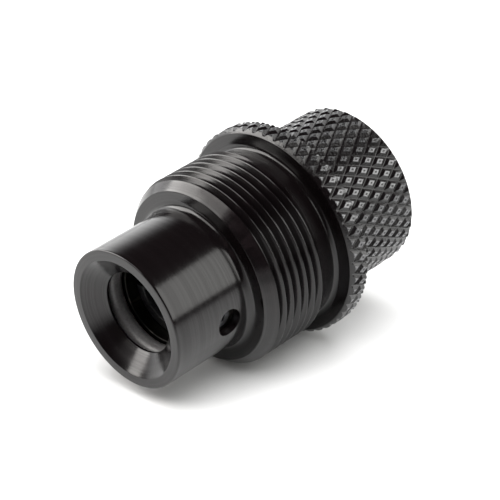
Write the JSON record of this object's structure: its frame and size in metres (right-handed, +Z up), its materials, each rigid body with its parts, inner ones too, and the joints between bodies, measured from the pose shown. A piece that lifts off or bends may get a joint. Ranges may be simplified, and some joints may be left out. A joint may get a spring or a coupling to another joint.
{
  "type": "laser collimator",
  "caption": "Turned black laser collimator: a countersunk nose lets the beam out, a fine thread and flange seat it in an adapter, and a knurled screw-on rear cap covers its button cells.",
  "frame": {"origin": "on the optical axis, in the front face of the flange that seats against the adapter", "axes": "+X along the optical axis, out of the mouth; +Z up; the access hole in the nose faces +Y, turned 8 degrees down"},
  "size_m": [0.0321, 0.0224, 0.0224],
  "materials": {
    "black_anodised": "satin black anodised, turned and knurled",
    "nut_black": "matte black anodised",
    "seal_rubber": "matte black nitrile",
    "dark_brass": "chemically blackened",
    "lens_glass": "polished, coated",
    "gold_plate": "gold plated",
    "can_steel": "drawn",
    "spring_steel": "drawn wire",
    "screw_steel": "black oxide",
    "nylon": "natural nylon",
    "board_laminate": "green solder mask",
    "chip_plastic": "moulded",
    "capacitor_ceramic": "fired ceramic",
    "sleeve_plastic": "translucent",
    "cell_steel": "nickel plated"
  },
  "bodies": {
    "shell": {"housing": "black_anodised", "nose_seal": "seal_rubber", "laser_barrel": "dark_brass", "module_nut": "nut_black", "diode_base": "gold_plate", "diode_can": "can_steel", "diode_window": "lens_glass", "diode_pins": "gold_plate", "driver_board": "board_laminate", "driver_chip": "chip_plastic", "board_resistors": "chip_plastic", "board_capacitor": "capacitor_ceramic", "board_spring": "gold_plate", "front_insulator": "nylon", "battery_sleeve": "sleeve_plastic", "front_cell": "cell_steel", "rear_cell": "cell_steel", "cap_seal": "seal_rubber"},
    "cap_contact": {"contact_plate": "gold_plate", "contact_spring": "spring_steel"},
    "cap": {"rear_cap": "black_anodised", "retaining_ring": "spring_steel"},
    "focus_washer": {"spring_washer": "gold_plate", "lens_spring": "spring_steel"},
    "focus_cell": {"lens_cell": "nut_black", "collimating_lens": "lens_glass", "lens_retainer": "nut_black"},
    "lock_tip": {"lock_pad": "nylon"},
    "lock": {"lock_screw": "screw_steel"}
  },
  "joints": [
    {"name": "cap_advance", "type": "slide", "parent": "shell", "child": "cap_contact", "axis": [-1, 0, 0], "range_m": [-0.0005, 0.007], "deforming": ["contact_spring"]},
    {"name": "cap_turn", "type": "hinge", "parent": "cap_contact", "child": "cap", "pos_m": [0, 0, 0], "axis": [-1, 0, 0], "range_deg": [-180.5, 2521]},
    {"name": "focus_advance", "type": "slide", "parent": "shell", "child": "focus_washer", "axis": [1, 0, 0], "range_m": [-0.0005, 0.0005], "deforming": ["lens_spring"]},
    {"name": "focus_turn", "type": "hinge", "parent": "focus_washer", "child": "focus_cell", "pos_m": [0.0126, 0, 0], "axis": [1, 0, 0], "range_deg": [-361, 361]},
    {"name": "lock_advance", "type": "slide", "parent": "shell", "child": "lock_tip", "axis": [0, 0.9903, -0.1392], "range_m": [0, 0.0015]},
    {"name": "lock_turn", "type": "hinge", "parent": "lock_tip", "child": "lock", "pos_m": [0.0131, 0, 0], "axis": [0, 0.9903, -0.1392], "range_deg": [-0.5, 1351]}
  ],
  "couplings": [
    {"joint": "cap_turn", "follows": "cap_advance", "rad_per_m": 6283.2},
    {"joint": "focus_turn", "follows": "focus_advance", "rad_per_m": 12566},
    {"joint": "lock_turn", "follows": "lock_advance", "rad_per_m": 15708}
  ]
}
